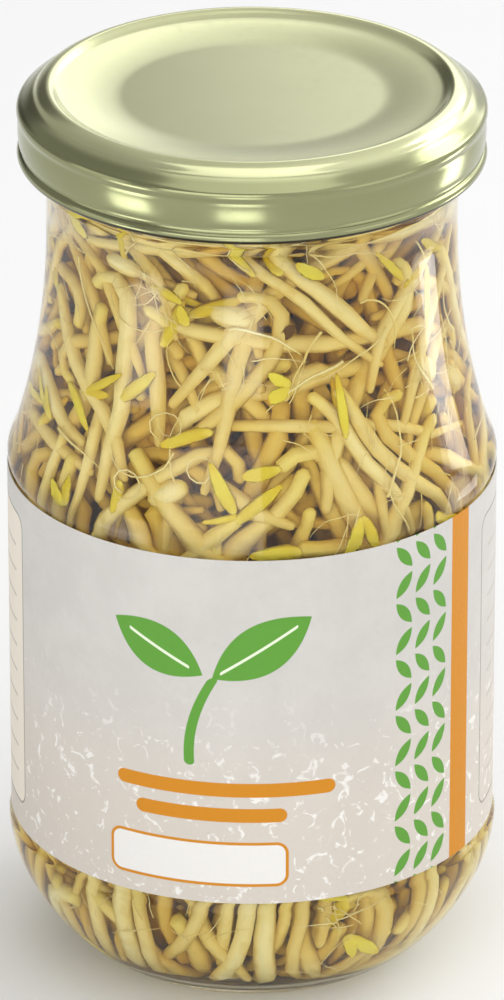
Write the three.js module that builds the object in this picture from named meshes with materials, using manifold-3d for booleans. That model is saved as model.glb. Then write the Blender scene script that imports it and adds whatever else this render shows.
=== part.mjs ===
// A jar of bean sprouts in brine: glass jar, twist-off steel lid with its sealing ring, paper label, brine, sprouts.
// Millimetres. The jar stands on z = 0, its axis is the Z axis, and the label's front looks along -Y.
import * as THREE from 'three';
import { mergeVertices } from 'three/addons/utils/BufferGeometryUtils.js';
import Module from 'manifold-3d';

const wasm = await Module();
wasm.setup();

// Jar
const BODY_RADIUS = 35.45; // at the bulge under the label
const PANEL_RADIUS = 34.9; // behind the label
const NECK_RADIUS = 29.2;
const FINISH_RADIUS = 29.6; // the band that carries the threads
const WALL = 2.4;
const CONTACT_INNER = 19.4; // the flat ring that the jar stands on
const CONTACT_OUTER = 21.3;
const PUSH_UP = 2.2;
const FLOOR = 5.0; // inside, at the axis
const HEEL_HEIGHT = 19.6;
const PANEL_BOTTOM = 20.9;
const PANEL_TOP = 75.8;
const SHOULDER_HEIGHT = 80.2;
const SHOULDER_RADIUS = 34.1;
const NECK_HEIGHT = 113;
const FINISH_HEIGHT = 122;
const RIM_HEIGHT = 131.2;
const RIM_ROUND = 1;
const SIDES = 40;
const INNER_SIDES = 32; // of the pieces that don't show

const OUTSIDE_STEPS = 4; // facets of each curve in a profile
const CAVITY_STEPS = 3;

// Threads on the neck and lugs in the lid
const THREADS = 4;
const THREAD_OUT = 1.5;
const THREAD_TALL = 1.3;
const THREAD_LOW = 125.9; // underside where a lug is tight
const THREAD_RISE = 1.5;
const THREAD_SPAN = 64; // degrees
const LUG_SPAN = 20;
const LUG_OUT = 1.15; // how far a lug reaches in from the skirt
const LUG_TOP = 125.3;

// Lid
const CAP_RADIUS = 33.25;
const CAP_BOTTOM = 122.5;
const CAP_TOP = 133.25; // the crest
const CAP_CURL = 0.85; // radius of the rolled bottom edge
const CAP_SKIRT = 33.0;
const SHEET = 0.4;
const CREST_RADIUS = 28.66;
const PANEL_EDGE_RADIUS = 26.6;
const PANEL_EDGE_HEIGHT = 132.45;
const DISH_RADIUS = 18.1;
const DISH_HEIGHT = 131.6;
const DISH_GAP = 0.3; // between the lid's channel and the sealing ring

// Label
const LABEL_BOTTOM = 21.36;
const LABEL_TOP = 75.38;
const LABEL_GAP = 0.2;
const LABEL_THICK = 0.15;
const LABEL_LAP = 12; // degrees that the end laps over the start, at the back

// Contents
const CLEAR = 0.3; // between solids that rest on each other
const FILM = 1.0; // brine between the sprouts and the glass
const BRINE_LEVEL = 126.2;
const SEED = 41;
const STEM = 1.35; // radius in the middle of a stem
const HEAD = 1.95; // radius at its seed leaves
const SPROUT_STEPS = 6;
const CORE_DEPTH = 6.6; // from the glass to the packed core of the bunch
const CORE_SIDES = 12;
const CORE_TOP = 122;

const DEGREE = Math.PI / 180;
const GOLDEN_ANGLE = 137.508; // degrees, which spreads repeats evenly

// A closed manifold solid from a three.js geometry, turned right side out.
function solid(geometry) {
  const bare = geometry.clone();
  bare.deleteAttribute('normal');
  bare.deleteAttribute('uv');
  const merged = mergeVertices(bare, 1e-5);
  const corners = [];
  const index = merged.index.array;
  for (let i = 0; i < index.length; i += 3) {
    const [a, b, c] = index.slice(i, i + 3);
    if (a !== b && b !== c && c !== a) corners.push(a, b, c);
  }
  const build = (triVerts) =>
    new wasm.Manifold(
      new wasm.Mesh({
        numProp: 3,
        vertProperties: new Float32Array(merged.attributes.position.array),
        triVerts: new Uint32Array(triVerts),
      }),
    );
  const made = build(corners);
  return made.volume() > 0 ? made : build(corners.reverse());
}

function mesh(name, made, material) {
  const { vertProperties, triVerts } = made.getMesh();
  const geometry = new THREE.BufferGeometry();
  geometry.setAttribute('position', new THREE.BufferAttribute(vertProperties, 3));
  geometry.setIndex(new THREE.BufferAttribute(triVerts, 1));
  geometry.computeVertexNormals();
  const node = new THREE.Mesh(geometry, material);
  node.name = name;
  return node;
}

// Turns a profile of (radius, height) points round the Z axis.
function turned(profile, sides = SIDES) {
  return solid(new THREE.LatheGeometry(profile, sides).rotateX(Math.PI / 2));
}

// A block whose length, depth and height run along an arc round the Z axis, placed by a formula.
function arcBlock(steps, place) {
  const block = new THREE.BoxGeometry(1, 1, 1, steps, 1, 1);
  const at = block.attributes.position;
  for (let i = 0; i < at.count; i++) {
    const { angle, radius, height } = place(at.getX(i) + 0.5, at.getY(i) + 0.5, at.getZ(i) + 0.5);
    at.setXYZ(i, radius * Math.cos(angle), radius * Math.sin(angle), height);
  }
  return solid(block);
}

// The inside of the jar, from the middle of its floor out and up to the rim.
function cavity() {
  const side = PANEL_RADIUS - WALL;
  const neck = NECK_RADIUS - WALL;
  const path = new THREE.Path();
  path.moveTo(0, FLOOR);
  path.quadraticCurveTo(10, FLOOR, 20, 3.8);
  path.bezierCurveTo(27, 3.4, side, 11.5, side, HEEL_HEIGHT + 1);
  path.lineTo(side, PANEL_TOP - 1);
  path.bezierCurveTo(side, PANEL_TOP + 1, side - 0.1, PANEL_TOP + 2.4, SHOULDER_RADIUS - WALL, SHOULDER_HEIGHT - 0.6);
  path.bezierCurveTo(28.9, 88.4, neck, 100, neck, NECK_HEIGHT);
  path.lineTo(neck, RIM_HEIGHT - RIM_ROUND);
  return path;
}

// The outside of the jar, from the middle of its push-up base out and up, over the rim.
function outside() {
  const inner = NECK_RADIUS - WALL;
  const path = new THREE.Path();
  path.moveTo(0, PUSH_UP);
  path.quadraticCurveTo(14, PUSH_UP, CONTACT_INNER, 0);
  path.lineTo(CONTACT_OUTER, 0);
  path.bezierCurveTo(25.8, 0, BODY_RADIUS, 11, BODY_RADIUS, HEEL_HEIGHT);
  path.lineTo(PANEL_RADIUS, PANEL_BOTTOM);
  path.lineTo(PANEL_RADIUS, PANEL_TOP);
  path.bezierCurveTo(35.4, PANEL_TOP + 1.4, 35, 78.4, SHOULDER_RADIUS, SHOULDER_HEIGHT);
  path.bezierCurveTo(31.2, 89.2, NECK_RADIUS, 100, NECK_RADIUS, NECK_HEIGHT);
  path.lineTo(NECK_RADIUS, FINISH_HEIGHT - 1);
  path.lineTo(FINISH_RADIUS, FINISH_HEIGHT);
  path.lineTo(FINISH_RADIUS, RIM_HEIGHT - RIM_ROUND);
  path.quadraticCurveTo(FINISH_RADIUS, RIM_HEIGHT, FINISH_RADIUS - RIM_ROUND, RIM_HEIGHT);
  path.lineTo(inner + RIM_ROUND, RIM_HEIGHT);
  return path;
}

// Moves a profile off the glass, into the jar.
function inset(points, distance) {
  return points.map((point, i) => {
    const before = points[Math.max(i - 1, 0)];
    const after = points[Math.min(i + 1, points.length - 1)];
    const along = after.clone().sub(before).normalize();
    const x = i === 0 ? 0 : point.x - along.y * distance;
    return new THREE.Vector2(x, point.y + along.x * distance);
  });
}

// The part of a profile below a height, ended at that height.
function below(points, height) {
  const end = points.findIndex((point, i) => i > 0 && point.y > height && points[i - 1].y <= height && point.x > 20);
  const [a, b] = [points[end - 1], points[end]];
  return [...points.slice(0, end), a.clone().lerp(b, (height - a.y) / (b.y - a.y))];
}

// One thread ridge on the neck. Its underside climbs from the tight end, and both ends fade into the glass.
function thread(turn) {
  return arcBlock(8, (along, across, up) => {
    const fade = Math.min(1, 6 * along, 6 * (1 - along));
    const out = FINISH_RADIUS + across * THREAD_OUT * fade - (1 - across) * 0.5;
    const thick = THREAD_TALL * (1 - 0.45 * across);
    const middle = THREAD_LOW + THREAD_TALL / 2 + THREAD_RISE * along;
    return { angle: (turn + along * THREAD_SPAN) * DEGREE, radius: out, height: middle + (up - 0.5) * thick };
  });
}

function glassJar() {
  const profile = [...outside().getPoints(OUTSIDE_STEPS), ...cavity().getPoints(CAVITY_STEPS).reverse()];
  const threads = [];
  for (let i = 0; i < THREADS; i++) threads.push(thread((i * 360) / THREADS));
  return wasm.Manifold.union([turned(profile), ...threads]);
}

// The pressed lid, outer face from the rolled edge up to the axis, inner face back down.
function lidShell() {
  const outer = new THREE.Path();
  const curlMiddle = CAP_BOTTOM + CAP_CURL;
  outer.absarc(CAP_RADIUS - CAP_CURL, curlMiddle, CAP_CURL, -90 * DEGREE, 75 * DEGREE, false);
  outer.lineTo(CAP_SKIRT, CAP_BOTTOM + 2.6);
  outer.lineTo(CAP_SKIRT, 128.6);
  outer.bezierCurveTo(CAP_SKIRT, 129.4, CAP_RADIUS + 0.1, 129.9, 32.7, 130.62);
  outer.bezierCurveTo(32.2, 131.0, 31.6, 131.6, 31.1, 131.85);
  outer.bezierCurveTo(30.7, 132.0, 30.6, 132.5, 30.2, 132.68);
  outer.bezierCurveTo(29.7, 133.0, 29.2, CAP_TOP, CREST_RADIUS, CAP_TOP);
  outer.bezierCurveTo(27.9, CAP_TOP, 27.6, PANEL_EDGE_HEIGHT + 0.1, PANEL_EDGE_RADIUS, PANEL_EDGE_HEIGHT);
  outer.lineTo(DISH_RADIUS, DISH_HEIGHT);
  outer.lineTo(0, DISH_HEIGHT);
  const inner = new THREE.Path();
  inner.moveTo(0, DISH_HEIGHT - SHEET);
  inner.lineTo(DISH_RADIUS, DISH_HEIGHT - SHEET);
  inner.lineTo(PANEL_EDGE_RADIUS, PANEL_EDGE_HEIGHT - SHEET);
  inner.quadraticCurveTo(27.6, PANEL_EDGE_HEIGHT - SHEET, 28.0, CAP_TOP - SHEET);
  inner.lineTo(29.3, CAP_TOP - SHEET);
  inner.lineTo(29.8, 131.6);
  inner.bezierCurveTo(30.8, 131.4, 31.6, 130.8, CAP_SKIRT - SHEET, 129.8);
  inner.lineTo(CAP_SKIRT - SHEET, CAP_BOTTOM + 2.6);
  inner.lineTo(CAP_RADIUS - 2 * CAP_CURL, CAP_BOTTOM + CAP_CURL + 0.5);
  inner.lineTo(CAP_RADIUS - 2 * CAP_CURL, CAP_BOTTOM + 0.4);
  return turned([...outer.getPoints(3), ...inner.getPoints(2), outer.getPoint(0)]);
}

// A lug is a stretch of the rolled edge that is pressed inwards, under the thread.
function lug(turn) {
  return arcBlock(3, (along, across, up) => {
    const fade = along === 0 || along === 1 ? 0.35 : 1;
    const back = CAP_RADIUS - 1.2;
    const front = CAP_RADIUS - 2 * CAP_CURL - LUG_OUT * fade;
    return {
      angle: (turn + (along - 0.5) * LUG_SPAN) * DEGREE,
      radius: back + (front - back) * across,
      height: CAP_BOTTOM + 0.3 + up * (LUG_TOP - CAP_BOTTOM - 0.3) * (1 - 0.35 * (1 - across)),
    };
  });
}

function lid() {
  const lugs = [];
  for (let i = 0; i < THREADS; i++) lugs.push(lug((i * 360) / THREADS + LUG_SPAN / 2 + 3));
  return wasm.Manifold.union([lidShell(), ...lugs]);
}

// The ring of soft compound that lines the lid's channel and closes on the rim.
function sealingRing() {
  const top = CAP_TOP - SHEET - DISH_GAP;
  const bottom = RIM_HEIGHT + CLEAR;
  const corners = [[27.7, bottom], [29.2, bottom], [28.9, top - 0.3], [28.6, top], [28.4, top], [27.9, bottom + 0.3]];
  const profile = [...corners, corners[0]].map(([radius, height]) => new THREE.Vector2(radius, height));
  return turned(profile, INNER_SIDES);
}

// A strip of paper round the panel, whose end laps over its start at the back.
function label() {
  const inner = PANEL_RADIUS + LABEL_GAP;
  const seam = 90 * DEGREE;
  const step = (2 * Math.PI) / SIDES;
  const outline = new THREE.Shape();
  for (let i = 0; i <= SIDES; i++) {
    const angle = seam + i * step;
    const lapped = angle - seam < LABEL_LAP * DEGREE && i < SIDES;
    const radius = inner + (lapped ? 2 : 1) * LABEL_THICK;
    outline[i === 0 ? 'moveTo' : 'lineTo'](radius * Math.cos(angle), radius * Math.sin(angle));
  }
  const bore = new THREE.Path();
  for (let i = 0; i <= SIDES; i++) {
    const angle = seam - i * step;
    bore[i === 0 ? 'moveTo' : 'lineTo'](inner * Math.cos(angle), inner * Math.sin(angle));
  }
  outline.holes.push(bore);
  const tall = LABEL_TOP - LABEL_BOTTOM;
  return solid(new THREE.ExtrudeGeometry(outline, { depth: tall, bevelEnabled: false }).translate(0, 0, LABEL_BOTTOM));
}

// The brine, with one plain hole in which the bunch stands.
function brine() {
  const wall = cavity().getPoints(CAVITY_STEPS);
  const outer = below(inset(wall, CLEAR), BRINE_LEVEL);
  const hole = below(inset(wall, CLEAR + FILM), BRINE_LEVEL);
  return turned([...outer, ...hole.reverse()], INNER_SIDES);
}

// Random numbers from 0 to 1 that are the same in each run.
function seeded(seed) {
  let state = seed;
  return () => {
    state = (state + 0x6d2b79f5) | 0;
    let mixed = Math.imul(state ^ (state >>> 15), 1 | state);
    mixed = (mixed + Math.imul(mixed ^ (mixed >>> 7), 61 | mixed)) ^ mixed;
    return ((mixed ^ (mixed >>> 14)) >>> 0) / 4294967296;
  };
}

// Bends a cylinder along a curve, as thick at each step as the formula says.
function tapered(curve, sides, steps, thickness) {
  const tube = new THREE.CylinderGeometry(1, 1, 1, sides, steps);
  const frames = curve.computeFrenetFrames(steps, false);
  const at = tube.attributes.position;
  for (let i = 0; i < at.count; i++) {
    const step = Math.round((at.getY(i) + 0.5) * steps);
    const spot = curve.getPointAt(step / steps);
    const radius = thickness(step / steps);
    spot.addScaledVector(frames.normals[step], at.getX(i) * radius);
    spot.addScaledVector(frames.binormals[step], at.getZ(i) * radius);
    at.setXYZ(i, spot.x, spot.y, spot.z);
  }
  return solid(tube);
}

// A point inside the jar: how far along the wall from the middle of the floor, round the axis, and in from the glass.
function onWall(wall, distance, angle, depth) {
  const share = THREE.MathUtils.clamp(distance / wall.getLength(), 0, 1);
  const point = wall.getPointAt(share);
  const along = wall.getTangentAt(share);
  const radius = point.x - along.y * depth;
  return new THREE.Vector3(radius * Math.cos(angle), radius * Math.sin(angle), point.y + along.x * depth);
}

// One sprout: its root is sunk in the core, its stem lies along the wall and ends in a hooked neck and thick seed leaves.
function sprout(wall, random, { start, turn, slant, depth }) {
  const between = (low, high) => low + (high - low) * random();
  const last = wall.getLength() - (RIM_HEIGHT - RIM_ROUND - CORE_TOP);
  const step = between(27, 42) / SPROUT_STEPS;
  const bend = between(-5, 5);
  const hook = between(38, 60) * (random() < 0.5 ? -1 : 1);
  const dives = [CORE_DEPTH - depth + 1.5, 0.35 * (CORE_DEPTH - depth)];
  let distance = start;
  let angle = turn * DEGREE;
  let heading = slant;
  const spots = [];
  for (let i = 0; i <= SPROUT_STEPS; i++) {
    const spot = onWall(wall, distance, angle, depth + (dives[i] ?? (i < SPROUT_STEPS - 1 ? 0 : HEAD - STEM)));
    spots.push(spot);
    if (distance + step * Math.cos(heading * DEGREE) > last) heading = 180 - heading;
    distance += step * Math.cos(heading * DEGREE);
    angle += (step * Math.sin(heading * DEGREE)) / Math.max(Math.hypot(spot.x, spot.y), 8);
    heading += i < SPROUT_STEPS - 3 ? bend : hook;
  }
  const curve = new THREE.CatmullRomCurve3(spots, false, 'centripetal');
  const thickness = (share) => (share > 0.8 ? HEAD : STEM * Math.min(1, 0.5 + 1.6 * share));
  return tapered(curve, 4, SPROUT_STEPS, thickness);
}

// The whole bunch: a packed core that hundreds of sprouts would fill, and the sprouts that stand out of it.
function sprouts() {
  const wall = cavity();
  const random = seeded(SEED);
  const core = below(inset(wall.getPoints(2), CORE_DEPTH), CORE_TOP);
  core.push(new THREE.Vector2(0, CORE_TOP));
  const pieces = [turned(core, CORE_SIDES)];
  const skin = CLEAR + FILM + 2 * CLEAR + STEM;
  // Layers: how many sprouts, where along the wall they start, how deep they lie and how they slant from upright.
  const layers = [
    { count: 13, from: 15, to: 30, depth: skin, slant: 15 },
    { count: 7, from: 12, to: 26, depth: skin + 2 * STEM, slant: -55 },
    { count: 8, from: 44, to: 66, depth: skin, slant: -25 },
    { count: 26, from: 78, to: 132, depth: skin, slant: 55 },
    { count: 15, from: 78, to: 122, depth: skin + 2 * STEM, slant: -40 },
  ];
  for (const { count, from, to, depth, slant } of layers) {
    for (let i = 0; i < count; i++) {
      const start = from + ((to - from) * (i + 0.5)) / count;
      const lean = slant + 30 * (random() - 0.5);
      pieces.push(sprout(wall, random, { start, turn: i * GOLDEN_ANGLE, slant: lean, depth }));
    }
  }
  return wasm.Manifold.union(pieces);
}

function finish(color, roughness, metalness, opacity = 1) {
  return new THREE.MeshStandardMaterial({ color, roughness, metalness, opacity, transparent: opacity < 1 });
}

const jar = new THREE.Group();
jar.add(
  mesh('glass_jar', glassJar(), finish(0xdfe8df, 0.05, 0, 0.3)),
  mesh('label', label(), finish(0xe4e1d6, 0.8, 0)),
  mesh('brine', brine(), finish(0xc9a45a, 0.1, 0, 0.4)),
  mesh('sprouts', sprouts(), finish(0xd8c48a, 0.5, 0)),
);
const cap = new THREE.Group();
cap.add(
  mesh('lid', lid(), finish(0xb9ba8c, 0.35, 0.6)),
  mesh('lid_sealing_ring', sealingRing(), finish(0xe8e4d8, 0.6, 0)),
);
const part = new THREE.Group();
part.add(jar, cap);

export default part;
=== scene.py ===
# %% [markdown]
# A jar of bean sprouts in brine
#
# This lesson dresses a jar that already exists as plain solids: a glass jar, a steel twist-off lid, a
# paper label, the brine and the sprouts. The solids fix every size. Here each one gets a finer mesh and a
# real finish, and the sprouts are grown one by one and settled in the jar.

# %% Load the fixed frame
import math
import random

import bmesh
import bpy
import numpy as np
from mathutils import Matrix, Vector
from mathutils.geometry import interpolate_bezier
from mathutils.kdtree import KDTree


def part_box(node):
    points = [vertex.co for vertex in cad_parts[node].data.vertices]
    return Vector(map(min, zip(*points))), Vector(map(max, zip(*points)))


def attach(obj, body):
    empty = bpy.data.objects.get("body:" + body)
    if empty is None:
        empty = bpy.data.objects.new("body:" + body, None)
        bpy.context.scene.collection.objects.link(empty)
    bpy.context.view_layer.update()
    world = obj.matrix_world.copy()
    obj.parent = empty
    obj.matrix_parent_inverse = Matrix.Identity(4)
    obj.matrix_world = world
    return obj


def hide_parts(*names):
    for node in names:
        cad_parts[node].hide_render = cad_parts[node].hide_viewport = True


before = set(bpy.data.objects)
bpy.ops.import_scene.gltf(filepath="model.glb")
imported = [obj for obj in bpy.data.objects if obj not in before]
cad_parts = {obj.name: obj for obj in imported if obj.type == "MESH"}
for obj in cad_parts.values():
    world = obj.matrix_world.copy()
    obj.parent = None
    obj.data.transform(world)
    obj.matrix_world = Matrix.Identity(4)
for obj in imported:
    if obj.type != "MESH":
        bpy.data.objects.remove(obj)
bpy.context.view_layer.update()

MM = 0.001

# %% [markdown]
# The camera
#
# A product picture is taken with a long lens from a little above, so the jar's sides hardly converge. The
# lens and the distance go together: the further away the camera, the longer the lens that fills the same
# frame.

# %% Camera
AIM_HEIGHT = 68.5 * MM
CAMERA_DISTANCE = 1.2655
CAMERA_ELEVATION = math.radians(24.96)
LENS = 316.6
SENSOR = 36.0

camera_data = bpy.data.cameras.new("camera")
camera_data.lens = LENS
camera_data.sensor_fit = "VERTICAL"
camera_data.sensor_height = SENSOR
camera = bpy.data.objects.new("camera", camera_data)
aim = Vector((0, 0, AIM_HEIGHT))
toward_camera = Vector((0, -math.cos(CAMERA_ELEVATION), math.sin(CAMERA_ELEVATION)))
camera.location = aim + toward_camera * CAMERA_DISTANCE
camera.rotation_euler = (-toward_camera).to_track_quat("-Z", "Y").to_euler()
bpy.context.collection.objects.link(camera)
bpy.context.scene.camera = camera
print("The camera is", round(CAMERA_DISTANCE, 2), "m away, behind a lens of", LENS, "mm")

# %% [markdown]
# Shader maths as Python
#
# A node tree is easier to read as sums than as wires. This class wraps one socket. Adding or multiplying
# two of them adds the Math node and gives back its output, so a mask can be written as it would be on
# paper.

# %% A socket that can be added and multiplied


class Sum:
    """One output socket of a node tree, with arithmetic."""

    def __init__(self, tree, socket):
        self.tree = tree
        self.socket = socket

    def node(self, kind, inputs, out=0, **settings):
        """Adds a node with its settings, links or sets its inputs, and gives one of its outputs."""
        made = self.tree.nodes.new(kind)
        for name, value in settings.items():
            setattr(made, name, value)
        for key, value in inputs.items():
            if isinstance(value, Sum):
                self.tree.links.new(value.socket, made.inputs[key])
            else:
                made.inputs[key].default_value = value
        return Sum(self.tree, made.outputs[out])

    def math(self, operation, other=0.0):
        return self.node("ShaderNodeMath", {0: self, 1: other}, operation=operation)

    def __add__(self, other):
        return self.math("ADD", other)

    def __sub__(self, other):
        return self.math("SUBTRACT", other)

    def __mul__(self, other):
        return self.math("MULTIPLY", other)

    def __rsub__(self, other):
        return self.node("ShaderNodeMath", {0: other, 1: self}, operation="SUBTRACT")

    __radd__ = __add__
    __rmul__ = __mul__

    def low(self, other):
        return self.math("MINIMUM", other)

    def high(self, other):
        return self.math("MAXIMUM", other)

    def step(self, start, end):
        """0 below start, 1 above end, smooth between them."""
        inputs = {"Value": self, "From Min": start, "From Max": end}
        return self.node("ShaderNodeMapRange", inputs, interpolation_type="SMOOTHSTEP")

    def noise(self, scale, detail, **more):
        """Cloudy noise over these coordinates."""
        return self.node("ShaderNodeTexNoise", {"Vector": self, "Scale": scale, "Detail": detail, **more})

    def axes(self):
        """The three parts of a vector."""
        parts = self.node("ShaderNodeSeparateXYZ", {0: self}).socket.node
        return [Sum(self.tree, part) for part in parts.outputs]


def mix(first, second, share):
    """Colour first where share is 0, colour second where it is 1."""
    ends = [end if isinstance(end, Sum) else (*end, 1) for end in (first, second)]
    return share.node("ShaderNodeMix", {0: share, 6: ends[0], 7: ends[1]}, out=2, data_type="RGBA")


def srgb(red, green, blue):
    """A colour as it is read from a screen, 0 to 255, in the linear numbers that a shader wants."""
    shares = (red / 255, green / 255, blue / 255)
    return tuple(((c + 0.055) / 1.055) ** 2.4 if c > 0.04 else c / 12.92 for c in shares)


def new_material(name, **shader_values):
    """A material with a Principled shader, its plain values set, and the object's coordinates."""
    made = bpy.data.materials.new(name)
    made.use_nodes = True
    tree = made.node_tree
    shader = tree.nodes["Principled BSDF"]
    for key, value in shader_values.items():
        shader.inputs[key.replace("_", " ")].default_value = value
    place = Sum(tree, tree.nodes.new("ShaderNodeTexCoord").outputs["Object"])
    return made, shader, place


def feed(shader, name, value):
    value.tree.links.new(value.socket, shader.inputs[name])


def bump(shader, height, distance):
    made = height.node("ShaderNodeBump", {"Height": height, "Distance": distance, "Strength": 1.0})
    feed(shader, "Normal", made)


# %% [markdown]
# Turning a profile
#
# Everything round here, glass, lid, sealing ring and brine, is a profile spun about the jar's axis. A
# profile is a list of radius and height pairs in millimetres, with its curved stretches worked out as
# Bezier arcs. A Screw modifier could turn a profile too. The spin operator was chosen, because it leaves a
# plain mesh whose seam and poles are closed at once.

# %% Profiles and the spin
TURNS = 144


def arc(start, first, second, end, steps=8):
    """Points along a Bezier arc, without its start."""
    corners = [Vector((*pair, 0)) for pair in (start, first, second, end)]
    return [(p.x, p.y) for p in interpolate_bezier(*corners, steps + 1)[1:]]


def link(bm, name, material, smooth=True):
    """Turns a bmesh in millimetres into an object in metres at the origin."""
    bmesh.ops.scale(bm, vec=(MM, MM, MM), verts=bm.verts)
    data = bpy.data.meshes.new(name)
    for face in bm.faces:
        face.smooth = smooth
    bm.to_mesh(data)
    bm.free()
    data.materials.append(material)
    made = bpy.data.objects.new(name, data)
    bpy.context.collection.objects.link(made)
    return made


def spin(profile, closed=False):
    """A bmesh with the profile turned once round the Z axis, its seam and poles closed."""
    bm = bmesh.new()
    verts = [bm.verts.new((radius, 0, height)) for radius, height in profile]
    edges = [bm.edges.new(pair) for pair in zip(verts, verts[1:])]
    if closed:
        edges.append(bm.edges.new((verts[-1], verts[0])))
    bmesh.ops.spin(
        bm, geom=verts + edges, cent=(0, 0, 0), axis=(0, 0, 1), angle=math.tau, steps=TURNS, use_merge=True
    )
    bmesh.ops.remove_doubles(bm, verts=bm.verts, dist=1e-4)
    bmesh.ops.recalc_face_normals(bm, faces=bm.faces)
    return bm


# %% [markdown]
# The jar's outline
#
# A preserve jar is a round heel, a bulge, a panel set back a little for the label, a shoulder and a long
# neck. A Solidify modifier could give it a wall, but in a blown jar the inside doesn't follow the outside:
# the floor is thicker and the step of the panel melts away. So the outside and the cavity are two
# profiles, and the space between them is the wall.

# %% Sizes of the jar, in millimetres
BODY_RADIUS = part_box("glass_jar")[1].x / MM
RIM_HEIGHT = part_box("glass_jar")[1].z / MM
PANEL_RADIUS = 34.9
NECK_RADIUS = 29.2
FINISH_RADIUS = 29.6
WALL = 2.4
CONTACT_INNER, CONTACT_OUTER = 19.4, 21.3
HEEL_HEIGHT = 19.6
PANEL_BOTTOM, PANEL_TOP = 21.3, 75.8
SHOULDER = (34.1, 80.2)
NECK_HEIGHT = 113.0
FLOOR_HEIGHT = 5.0
print("The jar alone is", round(RIM_HEIGHT, 1), "mm tall and", round(2 * BODY_RADIUS, 1), "mm across")

# %% The outside of the glass


def glass_outside():
    profile = [(0, 2.2)]
    profile += arc((0, 2.2), (9, 2.2), (16, 1.5), (CONTACT_INNER, 0))
    profile += [(CONTACT_INNER + 0.3, 0), (CONTACT_OUTER, 0)]
    profile += arc((CONTACT_OUTER, 0), (25.8, 0), (BODY_RADIUS, 11), (BODY_RADIUS, HEEL_HEIGHT), 14)
    step_end = (PANEL_RADIUS, PANEL_BOTTOM)
    profile += arc((BODY_RADIUS, HEEL_HEIGHT), (BODY_RADIUS, 20.1), (PANEL_RADIUS, 20.8), step_end, 6)
    profile += [(PANEL_RADIUS, height) for height in (38, 56, PANEL_TOP)]
    profile += arc((PANEL_RADIUS, PANEL_TOP), (35.4, PANEL_TOP + 1.4), (35, 78.4), SHOULDER, 8)
    profile += arc(SHOULDER, (31.2, 89.2), (NECK_RADIUS, 100), (NECK_RADIUS, NECK_HEIGHT), 16)
    profile += [(NECK_RADIUS, 119.2)]
    profile += arc((NECK_RADIUS, 119.2), (29.9, 119.2), (29.9, 120.5), (29.35, 120.5), 8)
    profile += arc((29.35, 120.5), (29.4, 120.9), (FINISH_RADIUS, 121), (FINISH_RADIUS, 121.6), 3)
    profile += [(FINISH_RADIUS, RIM_HEIGHT - 1)]
    rim_start, rim_end = (FINISH_RADIUS, RIM_HEIGHT - 1), (28.2, RIM_HEIGHT)
    profile += arc(rim_start, (FINISH_RADIUS, RIM_HEIGHT), (28.8, RIM_HEIGHT), rim_end, 5)
    return profile


# %% The cavity


def cavity():
    """The inside of the jar, from the middle of its floor out and up to the rim."""
    side, neck = PANEL_RADIUS - WALL, NECK_RADIUS - WALL
    profile = [(0, FLOOR_HEIGHT)]
    profile += arc((0, FLOOR_HEIGHT), (7, FLOOR_HEIGHT), (14, 4.4), (20, 3.8))
    profile += arc((20, 3.8), (27, 3.4), (side, 11.5), (side, HEEL_HEIGHT + 1), 14)
    profile += [(side, height) for height in (38, 56, PANEL_TOP - 1)]
    top = (SHOULDER[0] - WALL, SHOULDER[1] - 0.6)
    profile += arc((side, PANEL_TOP - 1), (side, PANEL_TOP + 1), (side - 0.1, PANEL_TOP + 2.4), top, 6)
    profile += arc(top, (28.9, 88.4), (neck, 100), (neck, NECK_HEIGHT), 16)
    profile += [(neck, 122), (neck, RIM_HEIGHT - 1)]
    return profile


def outward(profile, distance):
    """A profile of the cavity moved into the glass by a distance, or into the jar if that is negative."""
    points = [Vector(pair) for pair in profile]
    moved = []
    for i, point in enumerate(points):
        along = (points[min(i + 1, len(points) - 1)] - points[max(i - 1, 0)]).normalized()
        radius = point.x + along.y * distance if i else 0.0
        moved.append((radius, point.y - along.x * distance))
    return moved


# %% [markdown]
# Glass that lets the light in
#
# A lamp can't be aimed through curved glass, so a path tracer finds little light inside a jar. The usual
# answer is used here: the camera sees real refracting glass, and the light that falls on the sprouts
# passes as if through clear film. The Light Path node tells the two apart.

# %% Clear bodies


def see_through(name, tint, index, film):
    """A clear body of this tint and index of refraction, which lets lamps through as a film would."""
    made, shader, place = new_material(
        name,
        Base_Color=(*tint, 1),
        Roughness=0.0,
        Transmission_Weight=1.0,
        IOR=index,
        Specular_Tint=(0.4, 0.4, 0.4, 1),
    )
    tree = made.node_tree
    path = tree.nodes.new("ShaderNodeLightPath")
    lamp_ray = Sum(tree, path.outputs["Is Shadow Ray"]).high(Sum(tree, path.outputs["Is Diffuse Ray"]))
    clear = tree.nodes.new("ShaderNodeBsdfTransparent")
    clear.inputs["Color"].default_value = (*film, 1)
    mixed = tree.nodes.new("ShaderNodeMixShader")
    tree.links.new(lamp_ray.socket, mixed.inputs[0])
    tree.links.new(shader.outputs[0], mixed.inputs[1])
    tree.links.new(clear.outputs[0], mixed.inputs[2])
    tree.links.new(mixed.outputs[0], tree.nodes["Material Output"].inputs["Surface"])
    return made, shader, place


def glass_material():
    """Clear glass with slow waves, a mould seam at both sides and a stippled base."""
    made, shader, place = see_through("jar_glass", (0.97, 0.99, 0.97), 1.5, (0.96, 0.98, 0.96))
    _, y, z = place.axes()
    waves = place.noise(45.0, 1.0)
    stipple = place.node("ShaderNodeTexVoronoi", {"Vector": place, "Scale": 900.0})
    under = 1 - z.step(0.0004, 0.0012)
    seam = 1 - y.math("ABSOLUTE").step(0.0, 0.0003)
    bump(shader, waves + seam * 0.15 - stipple.step(0.0, 0.5) * under * 0.2, 0.0004)
    return made


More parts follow.
